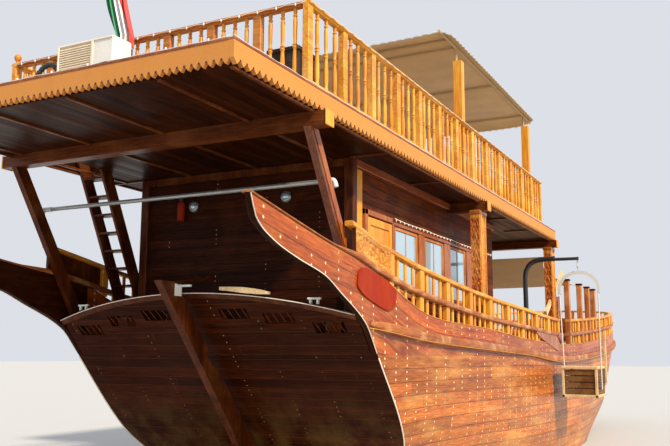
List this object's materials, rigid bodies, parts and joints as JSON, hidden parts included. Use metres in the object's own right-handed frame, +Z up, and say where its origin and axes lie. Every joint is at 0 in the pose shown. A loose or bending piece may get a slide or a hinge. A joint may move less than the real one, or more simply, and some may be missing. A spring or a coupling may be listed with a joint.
{
  "type": "motor dhow",
  "caption": "Wooden motor dhow with a raked flat transom, curved stern wings, railed main deck, cabin, and a railed upper deck under an awning.",
  "frame": {"origin": "on the waterline, on the centreline, midships", "axes": "+X forward, +Y to port, +Z up"},
  "size_m": [24.66, 6.3748, 9.55],
  "materials": {
    "hull_wood": "oiled teak planks with rows of nail heads, sun bleached in places, satin",
    "varnish": "red-brown varnished timber, semi-gloss",
    "dark_varnish": "dark red-brown varnish, glossy",
    "gold_wood": "golden varnished timber, satin",
    "deck_teak": "bare worn teak, matt",
    "canvas": "tan canvas, matt",
    "white_paint": "white paint, a little chalky",
    "black_steel": "black paint, satin",
    "grey_steel": "weathered galvanised tube",
    "bronze": "cast bronze, dull",
    "window_glass": "clear window glass",
    "flag_cloth": "plain coloured bands of light cloth"
  },
  "bodies": {
    "root": {"hull": "hull_wood", "bulwark_starboard": "hull_wood", "bulwark_port": "hull_wood", "keel": "dark_varnish", "stem": "varnish", "wale_starboard": "varnish", "wale_port": "varnish", "transom_board": "dark_varnish", "transom_cap": "varnish", "balustrade_starboard": "gold_wood", "balustrade_port": "gold_wood", "bow_rail_starboard": "gold_wood", "bow_rail_port": "gold_wood", "upper_deck": "dark_varnish", "beam_aft": "dark_varnish", "beam_mid": "dark_varnish", "beam_fore": "dark_varnish", "fascia_starboard": "gold_wood", "fascia_port": "gold_wood", "fascia_stern": "gold_wood", "fascia_fore": "gold_wood", "upper_rail_starboard": "gold_wood", "upper_rail_port": "gold_wood", "upper_rail_stern": "gold_wood", "upper_rail_fore": "gold_wood", "cabin_wall_starboard": "varnish", "cabin_wall_port": "varnish", "cabin_wall_aft": "varnish", "cabin_wall_fore": "varnish", "window_glass_starboard": "window_glass", "window_glass_port": "window_glass", "carved_post_mid_starboard": "varnish", "carved_post_mid_port": "varnish", "carved_post_fore_starboard": "varnish", "carved_post_fore_port": "varnish", "strut_starboard": "varnish", "strut_port": "varnish", "cross_pipe": "grey_steel", "stair": "varnish", "awning_post_aft_starboard": "gold_wood", "awning_post_aft_port": "gold_wood", "awning_post_fore_starboard": "gold_wood", "awning_post_fore_port": "gold_wood", "awning_frame": "white_paint", "upper_awning": "canvas", "fore_awning": "canvas", "aircon_unit": "white_paint", "deck_box": "black_steel", "flagstaff": "white_paint", "flag": "flag_cloth", "hatch_coaming": "varnish"},
    "rudder": {"rudder": "dark_varnish"},
    "propeller": {"propeller": "bronze"},
    "side_door": {"side_door": "gold_wood"},
    "fore_door": {"fore_door": "gold_wood"},
    "davit": {"davit": "black_steel", "spreader_hoop": "white_paint", "boarding_step": "gold_wood"},
    "hatch_lid": {"hatch_lid": "deck_teak"}
  },
  "joints": [
    {"name": "rudder_turn", "type": "hinge", "parent": "root", "child": "rudder", "pos_m": [-7.24, 0, 0], "axis": [-0.6627, 0, 0.7489], "range_deg": [-35, 35]},
    {"name": "propeller_spin", "type": "hinge", "parent": "root", "child": "propeller", "pos_m": [-5.61, 0, -0.77], "axis": [1, 0, 0], "continuous": true},
    {"name": "side_door_hinge", "type": "hinge", "parent": "root", "child": "side_door", "pos_m": [-7.892, -1.7, 3], "axis": [0, 0, 1], "range_deg": [0, 95]},
    {"name": "fore_door_hinge", "type": "hinge", "parent": "root", "child": "fore_door", "pos_m": [-1.805, -0.392, 3], "axis": [0, 0, -1], "range_deg": [0, 100]},
    {"name": "davit_swing", "type": "hinge", "parent": "root", "child": "davit", "pos_m": [-0.475, -2.08, 3], "axis": [0, 0, 1], "range_deg": [-12, 12]},
    {"name": "hatch_lid_hinge", "type": "hinge", "parent": "root", "child": "hatch_lid", "pos_m": [4.58, 0, 2.3865], "axis": [0, -1, 0], "range_deg": [0, 100]}
  ]
}
